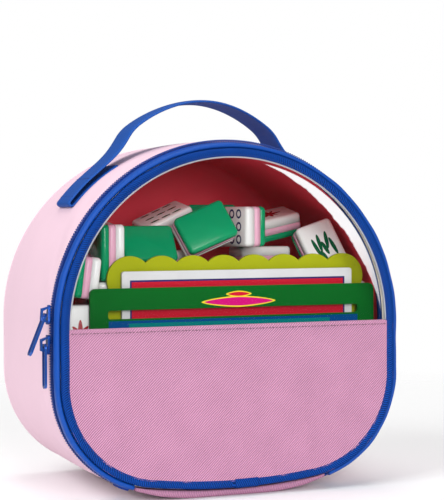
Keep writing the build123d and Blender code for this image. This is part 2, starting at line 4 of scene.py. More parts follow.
import bmesh
import bpy
import numpy as np
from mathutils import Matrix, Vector


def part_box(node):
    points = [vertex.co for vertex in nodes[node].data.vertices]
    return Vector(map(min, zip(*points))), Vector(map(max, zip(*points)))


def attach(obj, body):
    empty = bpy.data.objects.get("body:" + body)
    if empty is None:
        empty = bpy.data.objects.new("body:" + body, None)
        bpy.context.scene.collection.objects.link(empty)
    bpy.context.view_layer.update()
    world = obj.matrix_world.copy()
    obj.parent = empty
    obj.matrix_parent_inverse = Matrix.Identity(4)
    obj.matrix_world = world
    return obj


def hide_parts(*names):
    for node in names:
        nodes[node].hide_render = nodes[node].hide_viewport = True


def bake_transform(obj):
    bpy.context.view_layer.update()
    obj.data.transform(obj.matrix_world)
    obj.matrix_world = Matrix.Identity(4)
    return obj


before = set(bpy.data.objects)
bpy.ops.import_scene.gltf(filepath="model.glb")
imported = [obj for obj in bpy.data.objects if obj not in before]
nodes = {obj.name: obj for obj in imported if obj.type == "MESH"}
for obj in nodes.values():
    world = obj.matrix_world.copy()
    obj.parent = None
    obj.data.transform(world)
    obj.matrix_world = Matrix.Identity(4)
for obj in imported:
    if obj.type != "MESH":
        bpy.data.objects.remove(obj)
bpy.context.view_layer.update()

# A soft round case for game tiles. Sizes are in millimetres and become metres in new_piece.
# "Grow" is how far a point stands out from the lid's seam line, "depth" how far behind its face.
MM = 0.001
FRONT = -59.0
ARCH, SIDE, CORNER, BASE, FOOT = 91.0, 28.0, 52.0, 345.0, 8.0
CORNER_X = ARCH - CORNER
BASE_RISE = sqrt((BASE - CORNER) ** 2 - CORNER_X**2)
CORNER_Z = FOOT + BASE - BASE_RISE
ARCH_Z = CORNER_Z + SIDE
BASE_Z = CORNER_Z + BASE_RISE
SPREAD = atan2(CORNER_X, BASE_RISE)
TOP_Z = ARCH_Z + ARCH

# How far the main layers stand out from the seam line, and the depths between which they run
WALL_GROW, WALL_FRONT, WALL_BACK = 6.5, 13.0, 108.0
LINING_GROW, SHEET_GROW = 2.0, 2.9
COIL_GROW, LID_COIL, BODY_COIL = 6.15, 9.0, 11.45
COIL_RADII, COIL_WIRE, COIL_PITCH = (0.5, 0.4), 0.28, 1.3
# Half the distance between the ends of the zip, the wall and the rolled tape, over the base
ZIP_HALF, WALL_HALF, ROLL_HALF = 61.5, 56.2, 54.3
TAB_HALVES = 56.4, 61.2  # where each tab over the zip's end starts and stops

# ---- paths ----


def spread(*parts):
    """Arrays broadcast together and stacked as the last axis: X, Y, Z of points, or a map."""
    return np.stack(np.broadcast_arrays(*parts), -1)


def seam_spans():
    """The seam line's spans, from the middle of the base round by the right: centre at the start
    and the end of the span, radius, angle at the start and the end, and length."""
    low = 1.5 * pi
    return np.array([
        (0, BASE_Z, 0, BASE_Z, BASE, low - 2 * pi, low + SPREAD - 2 * pi, BASE * SPREAD),
        (CORNER_X, CORNER_Z, CORNER_X, CORNER_Z, CORNER, low + SPREAD - 2 * pi, 0,
         CORNER * (pi / 2 - SPREAD)),
        (0, CORNER_Z, 0, ARCH_Z, ARCH, 0, 0, SIDE),
        (0, ARCH_Z, 0, ARCH_Z, ARCH, 0, pi, ARCH * pi),
        (0, ARCH_Z, 0, CORNER_Z, ARCH, pi, pi, SIDE),
        (-CORNER_X, CORNER_Z, -CORNER_X, CORNER_Z, CORNER, pi, low - SPREAD,
         CORNER * (pi / 2 - SPREAD)),
        (0, BASE_Z, 0, BASE_Z, BASE, low - SPREAD, low, BASE * SPREAD)])


SPANS = seam_spans()
SPAN_ENDS = np.cumsum(SPANS[:, 7])
ROUND = SPAN_ENDS[-1]


def rim(s, grow, depth):
    """Points at a distance s along the seam line, grown outwards and set back: on each span,
    centre plus (radius + grow) times the unit vector at the angle, which runs evenly with s."""
    s, grow, depth = np.broadcast_arrays(*(np.asarray(v, float) for v in (s, grow, depth)))
    s = np.mod(s, ROUND)
    k = np.minimum(np.searchsorted(SPAN_ENDS, s, side="right"), len(SPANS) - 1)
    span = SPANS[k]
    part = (s - (SPAN_ENDS[k] - span[..., 7])) / span[..., 7]
    angle = span[..., 5] + (span[..., 6] - span[..., 5]) * part
    x = span[..., 0] + (span[..., 2] - span[..., 0]) * part + (span[..., 4] + grow) * np.cos(angle)
    z = span[..., 1] + (span[..., 3] - span[..., 1]) * part + (span[..., 4] + grow) * np.sin(angle)
    return spread(x, FRONT + depth, z)


def distance_at(x, grow=0.0):
    """Distance along the seam line where the base and its corner reach a half width."""
    s = np.linspace(0, SPAN_ENDS[1], 4000)
    return np.interp(x, rim(s, grow, 0)[:, 0], s)


def low_z(x, grow):
    """Height of the outline's underside at a half width."""
    s = np.linspace(0, SPAN_ENDS[1], 4000)
    points = rim(s, grow, 0)
    return np.interp(np.abs(x), points[:, 0], points[:, 2])


def floor_z(x):
    """Height of the base's underside: flat in the middle, then an arc up to the wall's edge."""
    flat, edge = 20.0, 56.0
    rise = CORNER_Z - sqrt((CORNER + WALL_GROW) ** 2 - (edge - CORNER_X) ** 2)
    radius = ((edge - flat) ** 2 + rise**2) / (2 * rise)
    out = np.clip(np.abs(x) - flat, 0, None)
    return radius - np.sqrt(radius**2 - out**2)


def oval(centre, half, power=2.6, count=20):
    """A closed section in grow and depth: a rounded rectangle by the superellipse formula."""
    c, s = np.cos(full_turn(count)), np.sin(full_turn(count))
    return spread(centre[0] + half[0] * np.sign(c) * np.abs(c) ** (2 / power),
                  centre[1] + half[1] * np.sign(s) * np.abs(s) ** (2 / power))


def waves(s, *terms):
    """Sum of sines of the distance, each given by amplitude, wave length and phase."""
    return sum(a * np.sin(2 * pi * s / length + phase) for a, length, phase in terms)


# ---- meshes ----


def unit(vectors):
    """Vectors at length 1."""
    return vectors / np.linalg.norm(vectors, axis=-1, keepdims=True)


def run_along(points):
    """Distance along a path at each of its points."""
    return np.concatenate([[0], np.cumsum(np.linalg.norm(np.diff(points, axis=0), axis=1))])


LID_LEAN, LID_DROP = 0.7, 1.4


def settle(points):
    """Lower the top of the lid a little and lean it to the left: full at the front and none
    from the zip on. The top drops as the square of its height over the arch's centre."""
    fade = 1 - smooth_step((points[..., 1] - FRONT - 3.5) / 4.5)
    height = np.clip((points[..., 2] - ARCH_Z) / 98.0, 0, 1)
    moved = points.copy()
    moved[..., 0] -= LID_LEAN * fade
    moved[..., 2] -= LID_DROP * fade * height**2
    return moved


def smooth_step(t):
    """0 below 0, 1 above 1, and 3t^2 - 2t^3 between."""
    t = np.clip(t, 0, 1)
    return t * t * (3 - 2 * t)


def full_turn(count):
    """Evenly spaced angles round one full turn."""
    return np.linspace(0, 2 * pi, count, endpoint=False)


def caps(first, last, columns):
    """The two flat faces that close a tube, from the first corner of its end rings."""
    return [list(range(first, first + columns))[::-1], list(range(last, last + columns))]


def quads(rows, columns, wrap_rows=False, wrap_columns=False):
    """Corner numbers of the quads between neighbouring rows and columns of a grid."""
    r = np.arange(rows if wrap_rows else rows - 1)[:, None]
    c = np.arange(columns if wrap_columns else columns - 1)[None]
    below, beside = (r + 1) % rows, (c + 1) % columns
    return spread(r * columns + c, r * columns + beside, below * columns + beside,
                  below * columns + c).reshape(-1, 4)


def put(name, data):
    """A new object in the scene."""
    made = bpy.data.objects.new(name, data)
    bpy.context.scene.collection.objects.link(made)
    return made


def new_piece(name, points, faces, uv, body, slot, material, replaces=(), closed=True):
    """One mesh object from points in millimetres, with a map in millimetres, and its faces turned
    outwards when it is closed. A closed loop's last column of the map runs on instead of jumping
    back. A piece with no body is left without a parent."""
    mesh = bpy.data.meshes.new(name)
    mesh.from_pydata((settle(points.reshape(-1, 3)) * MM).tolist(), [],
                     [list(map(int, f)) for f in faces])
    mesh.update()
    count = len(mesh.polygons)
    corners, totals = np.empty(len(mesh.loops), int), np.empty(count, int)
    mesh.loops.foreach_get("vertex_index", corners)
    mesh.polygons.foreach_get("loop_total", totals)
    owner = np.repeat(np.arange(count), totals)
    uv = uv.reshape(-1, 2)
    flat, span = uv[corners], uv.max(0) - uv.min(0)
    for axis in range(2):
        highest = np.full(count, -1e9)
        np.maximum.at(highest, owner, flat[:, axis])
        jump = (highest[owner] - flat[:, axis] > 0.6 * span[axis]) & (totals[owner] == 4)
        flat[jump, axis] += span[axis]
    layer = mesh.uv_layers.new(name="cloth")
    layer.data.foreach_set("uv", flat.ravel())
    if closed:
        work = bmesh.new()
        work.from_mesh(mesh)
        bmesh.ops.recalc_face_normals(work, faces=work.faces)
        work.to_mesh(mesh)
        work.free()
    mesh.polygons.foreach_set("use_smooth", np.ones(len(mesh.polygons), bool))
    piece = put(name, mesh)
    mesh.materials.append(material)
    if body:
        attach(piece, body)
    if replaces:
        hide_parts(*replaces)
    return piece


def tube(name, points, uv, loop, **facts):
    """Rows of closed sections joined along a path, round a loop or with both ends capped."""
    rows, columns = points.shape[:2]
    faces = quads(rows, columns, wrap_rows=loop, wrap_columns=True).tolist()
    if not loop:
        faces += caps(0, (rows - 1) * columns, columns)
    return new_piece(name, points, faces, uv, **facts)


def cloth(name, points, uv, thickness, offset=-1.0, **facts):
    """An open sheet of points given its thickness on one side."""
    piece = new_piece(name, points, quads(*points.shape[:2]).tolist(), uv, closed=False, **facts)
    solid = piece.modifiers.new("thickness", "SOLIDIFY")
    solid.thickness, solid.offset = thickness * MM, offset
    solid.use_even_offset = True
    return piece


def rim_tube(name, section, start, end, step=2.0, shift=None, **facts):
    """A section in grow and depth carried along the seam line. shift(s, section) moves it."""
    loop = end - start >= ROUND - 1e-6
    count = int((end - start) / step) + 1
    s = np.linspace(start, end, count, endpoint=not loop)[:, None]
    grow, depth = section[None, :, 0] + 0 * s, section[None, :, 1] + 0 * s
    if shift is not None:
        grow, depth = shift(s, grow, depth)
    along = np.linspace(0, 1, len(section), endpoint=False) * section_length(section)
    return tube(name, rim(s, grow, depth), spread(s, along), loop, **facts)


def section_length(section):
    """Length round a closed section."""
    return np.linalg.norm(section - np.roll(section, 1, 0), axis=1).sum()


def normals_along(points):
    """Two unit normals at each point of a path in space, the first square to the Y axis."""
    ahead = np.roll(points, -1, 0) - np.roll(points, 1, 0)
    ahead[0], ahead[-1] = points[1] - points[0], points[-1] - points[-2]
    ahead = unit(ahead)
    side = unit(np.cross(ahead, (0.0, 1.0, 0.0)))
    return side, np.cross(side, ahead)


def coil(name, start, end, depth, **facts):
    """A moulded coil along the zip: a wire carried on a helix whose axis follows the seam line.
    The helix is grow + a cos t, depth + b sin t, with t one turn for each pitch of distance."""
    turns = int((end - start) / COIL_PITCH)
    t = np.linspace(0, turns, turns * 9 + 1)
    core = rim(start + t * COIL_PITCH, COIL_GROW + COIL_RADII[0] * np.cos(2 * pi * t),
               depth + COIL_RADII[1] * np.sin(2 * pi * t))
    return wire_piece(name, core, COIL_WIRE, slot="blue_coil", material=coil_blue, **facts)


def wire_piece(name, core, wire, **facts):
    """A five-sided wire along a path of points."""
    side, up = normals_along(core)
    turn = full_turn(5)
    ring = side[:, None] * np.cos(turn)[None, :, None] + up[:, None] * np.sin(turn)[None, :, None]
    uv = spread(run_along(core)[:, None], turn * wire)
    return tube(name, core[:, None] + wire * ring, uv, False, **facts)


def stitches(name, centres, along, across, out, size, **facts):
    """Short threads: at each centre a capsule-like lozenge of length, width and height, which
    points along, lies across and stands out."""
    t = full_turn(6)
    stations = np.array([-0.5, -0.36, 0.0, 0.36, 0.5])
    swell = np.array([0.35, 0.9, 1.0, 0.9, 0.35])
    length, width, height = size
    ring = (np.cos(t)[None, :, None] * width / 2 * swell[:, None, None] * across[:, None, None]
            + np.sin(t)[None, :, None] * height / 2 * swell[:, None, None] * out[:, None, None])
    points = (centres[:, None, None] + stations[None, :, None, None] * length * along[:, None, None]
              + ring)
    count = len(centres)
    base = quads(5, 6, wrap_columns=True)
    faces = (base[None] + 30 * np.arange(count)[:, None, None]).reshape(-1, 4).tolist()
    for low in range(0, 30 * count, 30):
        faces += caps(low, low + 24, 6)
    number = np.arange(count)[:, None, None] + np.zeros((5, 6))
    return new_piece(name, points, faces, spread(number, t * width), **facts)


def rim_stitches(name, s, grow, depth, out_depth, size, **facts):
    """A row of stitches along the seam line. out_depth is -1 where it faces the front."""
    at = rim(s, grow, depth)
    along = unit(rim(s + 0.5, grow, depth) - rim(s - 0.5, grow, depth))
    across = rim(s, grow + 1.0, depth) - at
    out = np.zeros_like(at)
    out[:, 1] = out_depth
    return stitches(name, at, along, across, out, size, **facts)


# ---- materials ----


def operation(kind):
    """A method that adds one kind of maths node."""
    return lambda recipe, *values: recipe.math(kind, *values)


class Recipe:
    """The nodes of a material or world: its shader, and short calls that chain maths to it."""

    add, take, times, over = map(operation, ("ADD", "SUBTRACT", "MULTIPLY", "DIVIDE"))
    fused, size = map(operation, ("MULTIPLY_ADD", "ABSOLUTE"))
    higher, below = map(operation, ("MAXIMUM", "LESS_THAN"))

    def __init__(self, owner, shader, **sockets):
        owner.use_nodes = True
        self.owner, self.tree = owner, owner.node_tree
        self.shader = self.tree.nodes[shader]
        for socket, value in sockets.items():
            self.set(socket.replace("_", " "), value)

    def set(self, socket, value):
        self.feed(self.shader.inputs[socket], value)

    def feed(self, target, value):
        """A link from another node's socket, or a plain value; a colour gets its fourth part."""
        if isinstance(value, bpy.types.NodeSocket):
            self.tree.links.new(value, target)
        else:
            target.default_value = (*value, 1.0) if isinstance(value, tuple) else value

    def node(self, kind, inputs=(), **settings):
        made = self.tree.nodes.new(kind)
        for key, value in settings.items():
            setattr(made, key, value)
        for key, value in dict(inputs).items():
            self.feed(made.inputs[key], value)
        return made

    def math(self, kind, a, b=0.0, c=0.0):
        return self.node("ShaderNodeMath", {0: a, 1: b, 2: c}, operation=kind).outputs[0]

    def map_xyz(self, source="UV", scale=1.0):
        """The three coordinates of the piece's map, or of the object, in millimetres."""
        coordinate = self.node("ShaderNodeTexCoord").outputs[source]
        split = self.node("ShaderNodeSeparateXYZ", {0: coordinate})
        return [self.times(split.outputs[k], scale) for k in range(3)]

    def clip(self, value):
        """A value held between 0 and 1."""
        return self.math("MINIMUM", self.higher(value, 0.0), 1.0)

    def reach(self, x, y):
        """Distance of a point from the origin."""
        return self.math("SQRT", self.add(self.times(x, x), self.times(y, y)))

    def ridges(self, value, pitch):
        """Sine ridges from 0 to 1, one for each pitch."""
        return self.fused(self.math("SINE", self.times(value, 2 * pi / pitch)), 0.5, 0.5)

    def noise(self, place, scale, detail=2.0):
        """Noise at a place of two or three coordinates."""
        vector = self.node("ShaderNodeCombineXYZ", dict(enumerate(place))).outputs[0]
        return self.node("ShaderNodeTexNoise", {"Vector": vector, "Scale": scale,
                                                "Detail": detail}).outputs[0]

    def mix(self, factor, a, b):
        return self.node("ShaderNodeMix", {0: factor, 6: a, 7: b}, data_type="RGBA").outputs[2]

    def bump(self, height, strength, distance_mm):
        made = self.node("ShaderNodeBump", {"Height": height, "Strength": strength,
                                            "Distance": distance_mm * MM})
        self.set("Normal", made.outputs[0])


def recipe(name, color, roughness, **sockets):
    """A new material with a Principled shader."""
    return Recipe(bpy.data.materials.new(name), "Principled BSDF", Base_Color=color,
                  Roughness=roughness, **sockets)


def shade(color, factor):
    """A colour made darker or lighter."""
    return tuple(min(1.0, c * factor) for c in color)


def twill(name, color, pitch=1.3, slope=1.0, depth=0.16, dark=0.72, light=1.12, rough=0.85,
          sheen=0.0, shine=0.2):
    """Canvas woven on the slant: diagonal ridges broken into short floats, with uneven thread."""
    made = recipe(name, color, rough, Specular_IOR_Level=shine, Sheen_Weight=sheen)
    x, y, _ = made.map_xyz()
    drift = made.times(made.noise((x, y), 0.35), 0.9)
    slant = made.add(made.fused(y, -slope, x), drift)
    cord = made.ridges(slant, pitch)
    float_row = made.ridges(made.fused(x, slope, y), 0.62 * pitch)
    weave = made.times(cord, made.fused(float_row, 0.45, 0.55))
    patch = made.noise((x, y), 0.06)
    tone = made.add(weave, made.fused(patch, 0.2, -0.1))
    made.set("Base Color", made.mix(tone, shade(color, dark), shade(color, light)))
    made.bump(weave, 0.8, depth)
    return made.owner


def plain_weave(name, color, pitch, depth=0.08, dark=0.8, light=1.1, rough=0.7):
    """Threads over and under at right angles: ridges both ways, with soft clouds of tone."""
    made = recipe(name, color, rough, Specular_IOR_Level=0.2)
    x, y, _ = made.map_xyz()
    warp, weft = made.ridges(x, pitch), made.ridges(y, pitch)
    weave = made.size(made.take(warp, weft))
    cloud = made.noise((x, y), 0.05)
    tone = made.add(made.times(weave, 0.6), made.fused(cloud, 0.6, -0.1))
    made.set("Base Color", made.mix(tone, shade(color, dark), shade(color, light)))
    made.bump(weave, 0.7, depth)
    return made.owner


def plastic(name, color, rough, **sockets):
    """Moulded or polished plastic with faint unevenness."""
    made = recipe(name, color, rough, **sockets)
    place = made.map_xyz("Object", 1000.0)
    cloud = made.noise(place, 0.25, 3.0)
    made.set("Base Color", made.mix(cloud, shade(color, 0.94), shade(color, 1.06)))
    made.bump(made.noise(place, 1.5), 0.15, 0.05)
    return made.owner


PINK = (0.575, 0.272, 0.425)
PALE = (0.79, 0.565, 0.66)
BLUE = (0.006, 0.06, 0.38)
pocket_twill = twill("pocket_twill", PINK, pitch=1.45, dark=0.42, light=1.42, sheen=0.1)
pale_canvas = plain_weave("pale_canvas", PALE, 0.9, depth=0.05, dark=0.95, light=1.04, rough=0.9)
hinge_canvas = twill("hinge_canvas", shade(PINK, 0.92))
rib_binding = twill("rib_binding", (0.003, 0.040, 0.23), pitch=1.15, slope=0.6, depth=0.2,
                    dark=0.3, light=2.1, rough=0.6, shine=0.06)
smooth_blue = plain_weave("smooth_blue", (0.004, 0.068, 0.37), 0.45, depth=0.03, dark=0.85,
                          rough=0.45)
trim_blue = plain_weave("trim_blue", BLUE, 0.7, depth=0.06)
webbing_blue = twill("webbing_blue", (0.008, 0.078, 0.37), pitch=1.1, depth=0.12, light=1.25,
                     rough=0.55)
coil_blue = plastic("coil_blue", (0.008, 0.045, 0.27), 0.35)
cream_weave = plain_weave("cream_weave", (0.86, 0.81, 0.70), 0.6)
cream_coil = plastic("cream_coil", (0.85, 0.80, 0.70), 0.4)
# Pink thread darkened to 0.28 of the canvas: painted shade standing in for the shaded stitch holes
thread_pink_painted_shade = plastic("thread_pink_painted_shade", shade(PINK, 0.28), 0.7)
thread_navy = plastic("thread_navy", (0.008, 0.03, 0.17), 0.7)
blue_enamel = plastic("blue_enamel", (0.012, 0.085, 0.40), 0.2, Metallic=0.6, Coat_Weight=0.6)
plated_steel = plastic("plated_steel", (0.62, 0.62, 0.63), 0.25, Metallic=1.0)
lining_cloth = plain_weave("lining_cloth", (0.98, 0.05, 0.09), 0.5, depth=0.03, dark=0.9,
                           light=1.0, rough=0.5)

# What pieces of one cloth have in common
CANVAS = dict(body="lid", slot="pink_canvas", material=pocket_twill)
PALE_CLOTH = dict(body="case_body", slot="pale_pink_fabric", material=pale_canvas)

PAINTED_GLARE_OUT = 86.6  # outer radius of the painted reflection on the window


def clear_film():
    """Clear film: almost see-through, with a painted reflection: a white crescent, made opaque
    where the film curves at its upper right, stands in for the lamps' shine. The crescent lies
    between two radii about the arch's centre, and its width is a sine of the angle; it thins out
    downwards."""
    made = recipe("clear_film", (0.82, 0.82, 0.83), 0.05, Specular_IOR_Level=0.12)
    x, y, z = made.map_xyz("Object", 1000.0)
    up = made.take(z, ARCH_Z)
    reach = made.reach(x, up)
    angle = made.times(made.math("ARCTAN2", up, x), 180 / pi)
    along = made.clip(made.over(made.take(80.0, angle), 78.0))
    right = made.math("GREATER_THAN", x, 0.0)
    wander = made.fused(made.noise((x, y, z), 0.09, 2.0), 5.0, -2.5)
    width = made.times(made.add(6.2, wander), made.math("SINE", made.times(along, pi)))
    inner = made.take(PAINTED_GLARE_OUT, width)
    from_inner = made.clip(made.over(made.take(reach, inner), 0.7))
    from_outer = made.clip(made.over(made.take(PAINTED_GLARE_OUT, reach), 0.5))
    # shine: mask of the painted reflection, white alpha standing in for the lamps' highlight
    shine = made.times(made.times(from_inner, from_outer), right)
    fade = made.clip(made.over(made.take(angle, 4.0), 32.0))
    alpha = made.times(shine, made.fused(fade, 0.60, 0.18))
    made.set("Alpha", made.add(alpha, 0.002))
    return made.owner


def frosted_film():
    """Frosted film: milky, with a fine mottled face."""
    made = recipe("frosted_film", (0.86, 0.84, 0.85), 0.5, Alpha=0.3)
    made.bump(made.noise(made.map_xyz("Object", 1000.0), 0.8, 3.0), 0.3, 0.1)
    return made.owner


# ---- lid ----

# Ribbed binding round the lid: a flattened ring, its front pulled in along the stitch line
binding_section = oval((0.95, 0.8), (2.25, 2.1), 3.0, 28)
STITCH_GROW = -0.2


def stitch_dip(grow):
    """1 on the binding's stitch line, falling off on both sides."""
    return np.exp(-(((grow - STITCH_GROW) / 0.5) ** 2))


def pinch_binding(s, grow, depth):
    """The stitch line sinks the front, and the ring swells and shrinks a little on its way."""
    front = depth < 0
    depth = depth + front * 0.55 * stitch_dip(grow)
    depth = depth + front * waves(s, (0.04, 23, 0.3), (0.03, 9.1, 1.1))
    return grow + (grow > 2) * waves(s, (0.05, 31, 0.2), (0.03, 12.7, 2.0)), depth


rim_tube("rim_binding", binding_section, 0, ROUND, 1.6, pinch_binding, body="lid", slot="blue_trim",
         material=rib_binding, replaces=("lid_binding",))
rim_tube("binding_lap", oval((0.95, 0.6), (2.5, 2.4), 3.0, 28), 0, 13.0, 0.8,
         lambda s, grow, depth: (grow, depth + (depth < 0) * 0.3 * stitch_dip(grow)),
         body="lid", slot="blue_trim", material=rib_binding, replaces=("lid_binding_join",))
stitch_s = np.arange(0, ROUND - 1.0, 2.4)
rim_stitches("rim_stitch_row", stitch_s, STITCH_GROW, -0.72, -1.0, (1.7, 0.42, 0.3), body="lid",
             slot="blue_trim", material=thread_navy)

# Smooth rolled tape outside the binding, soft and slightly uneven
roll_from = distance_at(ROLL_HALF)
rim_tube("tape_roll", oval((4.6, 3.5), (1.5, 3.3), 2.3, 26), roll_from, ROUND - roll_from, 2.0,
         lambda s, g, d: (g + (g > 4.6) * waves(s, (0.12, 37, 0.4), (0.07, 16.3, 1.3)), d),
         body="lid", slot="blue_trim", material=smooth_blue, replaces=("lid_zip_tape",))

# Zip: two coils, with the lid's and the body's tape under them
zip_from = distance_at(ZIP_HALF)
zip_to = ROUND - zip_from
coil("lid_teeth", zip_from, zip_to, LID_COIL, body="lid", replaces=("lid_zip_coil",))
coil("body_teeth", zip_from, zip_to, BODY_COIL, body="case_body", replaces=("body_zip_coil",))
rim_tube("lid_tape_edge", oval((4.9, 8.3), (0.5, 1.3), 4, 12), zip_from, zip_to, 3.0,
         body="lid", slot="blue_trim", material=trim_blue)
rim_tube("body_tape", oval((5.0, 12.0), (0.5, 1.4), 4, 12), zip_from, zip_to, 3.0,
         body="case_body", slot="blue_trim", material=trim_blue, replaces=("body_zip_tape",))


def lid_sheet(top, bottom, grow, depth_of, columns, rows):
    """Points and map of a flat sheet inside the outline: rows at the heights of evenly spaced
    points of the rim, each row running straight across, with depth_of(x, z) behind the face."""
    right_half = np.linspace(0, ROUND / 2, 6000)
    heights = rim(right_half, grow, 0)[:, 2]
    edge = rim(np.linspace(*np.interp([top, bottom], heights, right_half), rows), grow, 0)
    u = np.linspace(-1, 1, columns)
    x, z = np.broadcast_arrays(edge[:, None, 0] * u, edge[:, None, 2])
    return spread(x, FRONT + depth_of(x, z), z), spread(x, z)


canvas_low = float(rim(3.0, SHEET_GROW, 0)[2])
CANVAS_HALF = 92


def canvas_depth(x, z):
    """The canvas swells forwards in its middle and is drawn back at its seams."""
    inside = np.clip(1 - (x / CANVAS_HALF) ** 2, 0, 1) * np.clip((z - 4) / 30, 0, 1)
    dents = waves(x, (0.16, 61, 0.5), (0.08, 27, 1.2)) * waves(z, (0.6, 83, 0.2), (0.4, 37, 1.9))
    return -0.55 - 0.5 * inside - dents * inside


points, uv = lid_sheet(ARCH_Z, canvas_low, SHEET_GROW, canvas_depth, 150, 90)
cloth("pocket_canvas", points, uv, 0.9, 1.0, replaces=("lid_panel",), **CANVAS)
fold_x = np.linspace(-89.3, 89.3, 120)[:, None]
turn = full_turn(14)
fold_bulge = 0.5 * (1 - (fold_x / CANVAS_HALF) ** 2)
fold_points = spread(fold_x, FRONT + 0.1 + 0.62 * np.cos(turn) - fold_bulge,
                     ARCH_Z - 0.15 + 0.5 * np.sin(turn))
tube("canvas_fold", fold_points, spread(fold_x, turn * 0.6), False, **CANVAS)
STITCH_DROP = 1.9  # from the canvas's upper edge
stitch_x = np.arange(-88.5, 88.6, 1.9)
stitch_z = ARCH_Z - STITCH_DROP
row = spread(stitch_x, FRONT + canvas_depth(stitch_x, stitch_z) - 0.75, stitch_z)
x_axis, y_axis, z_axis = np.tile(np.eye(3)[:, None], (1, len(stitch_x), 1))
# The topstitch thread's dark colour is painted shade of the stitch holes
stitches("canvas_topstitch", row, x_axis, z_axis, -y_axis, (1.25, 0.5, 0.4), body="lid",
         slot="pink_canvas", material=thread_pink_painted_shade)
points, uv = lid_sheet(ARCH_Z - 0.3, ARCH_Z - 8.0, -0.4, lambda x, z: 1.2, 100, 8)
cloth("canvas_hem", points, uv, 1.2, replaces=("lid_panel_hem",), **CANVAS)


def film_depth(x, z):
    """Clear film, held at its rim and a little slack between."""
    reach = np.clip(1 - (x**2 + (z - ARCH_Z) ** 2) / 93.0**2, 0, 1)
    return 0.55 + reach * waves(x + 0.4 * z, (0.35, 71, 0.3)) + reach * waves(z, (0.25, 47, 1.0))


points, uv = lid_sheet(TOP_Z + SHEET_GROW - 0.01, ARCH_Z - 6, SHEET_GROW, film_depth, 90, 70)
cloth("window_sheet", points, uv, 0.3, body="lid", slot="clear_film", material=clear_film(),
      replaces=("lid_window",))
rim_tube("window_edge", oval((-1.5, 0.0), (0.55, 0.3), 3, 12), SPAN_ENDS[2], SPAN_ENDS[3], 2.0,
         body="lid", slot="clear_film",
         material=plastic("film_edge", (0.50, 0.51, 0.55), 0.25, Alpha=0.6))

# Inside of the lid: cream seam binding, the pocket's sheet, its two tapes and coils
rim_tube("lid_seam_trim", oval((1.5, 5.1), (2.5, 1.0), 3, 20), 0, ROUND, 2.5,
         body="lid", slot="cream_tape", material=cream_weave, replaces=("lid_seam_binding",))
points, uv = lid_sheet(68.6, canvas_low + 1.2, 2.0,
                       lambda x, z: 3.75 + waves(x, (0.12, 53, 0.4)), 60, 40)
cloth("frosted_sheet", points, uv, 0.25, body="lid", slot="frosted_film",
      material=frosted_film(), replaces=("inner_pocket_sheet",))
CHAIN_Z = ARCH_Z - 14.8
for name, middle in (("inner_tape_upper", CHAIN_Z + 7.3), ("inner_tape_lower", CHAIN_Z - 7.3)):
    points, uv = lid_sheet(middle + 5.4, middle - 5.4, -1.4, lambda x, z: 3.0, 90, 6)
    cloth(name, points, uv, 0.45, body="lid", slot="cream_tape", material=cream_weave,
          replaces=(name.replace("inner_", "inner_zip_"),))
CHAIN_HALF, CHAIN_TURNS = 86.0, 140
turns = np.linspace(0, CHAIN_TURNS, CHAIN_TURNS * 8 + 1)
for index, offset in enumerate((1.2, -1.2)):
    core = spread(CHAIN_HALF * (2 * turns / CHAIN_TURNS - 1),
                  FRONT + 3.55 + 0.35 * np.sin(2 * pi * turns),
                  CHAIN_Z + offset + 0.4 * np.cos(2 * pi * turns))
    wire_piece(f"inner_coil_{index}", core, 0.26, body="lid", slot="cream_coil",
               material=cream_coil, replaces=("inner_zip_coil",))

# ---- body ----


def wall_swell(s, depth):
    """The padded wall bulges between its sewn edges and carries slow dents and a few creases."""
    t = np.clip((depth - WALL_FRONT) / (WALL_BACK - WALL_FRONT), 0, 1)
    hump = np.sin(pi * t)
    dents = waves(s, (0.32, 149, 0.3), (0.2, 71, 1.7)) * np.sin(2 * pi * t + s / 60)
    crease = waves(s + 1.2 * depth, (0.16, 29, 0.4)) * np.exp(-(((t - 0.1) / 0.12) ** 2))
    return hump * (0.55 + dents) + crease * (t > 0) * (t < 1)


wall_from = distance_at(WALL_HALF, WALL_GROW)
s = np.linspace(wall_from, ROUND - wall_from, 330)[:, None]
depth = np.concatenate([WALL_FRONT + np.array([0, 0.15, 0.5]), np.linspace(14.5, 106.5, 60),
                        [107.4, WALL_BACK]])[None]
tuck = -0.7 * np.clip(1 - (depth - WALL_FRONT), 0, 1) ** 2
points = rim(s, WALL_GROW + wall_swell(s, depth) + tuck, depth)
wall = cloth("gusset_cover", points, spread(s, depth), 2.4,
             replaces=("gusset_shell", "gusset_foam"), **PALE_CLOTH)


def disc_sheet(grow_rows, depth_rows, centre, shrink, s, bulge):
    """Rings from the wall's edge over a rounded corner and on to a point in the middle: the last
    edge ring shrinks evenly towards the centre. Points and map."""
    edge = rim(s[None], grow_rows[:, None], depth_rows[:, None])
    last = edge[-1]
    inner = centre + (last[None] - centre) * shrink[:, None, None]
    inner[..., 1] = last[None, :, 1] + bulge(inner[..., 0], inner[..., 2], shrink[:, None])
    points = np.concatenate([edge, inner])
    return points, spread(points[..., 0], points[..., 2] + (points[..., 1] - last[0, 1]))


def disc_piece(name, points, uv, thickness, offset, **facts):
    """Rings joined round, closed at the centre by one point, and given a thickness. The faces are
    turned outwards."""
    rows, columns = points.shape[:2]
    faces = quads(rows, columns, wrap_columns=True).tolist()
    hub = rows * columns
    last = (rows - 1) * columns
    faces += [[last + k, last + (k + 1) % columns, hub] for k in range(columns)]
    flat = np.concatenate([points.reshape(-1, 3), points[-1].mean(0)[None]])
    flat_uv = np.concatenate([uv.reshape(-1, 2), uv[-1].mean(0)[None]])
    piece = new_piece(name, flat, faces, flat_uv, **facts)
    solid = piece.modifiers.new("thickness", "SOLIDIFY")
    solid.thickness, solid.offset = thickness * MM, offset
    return piece


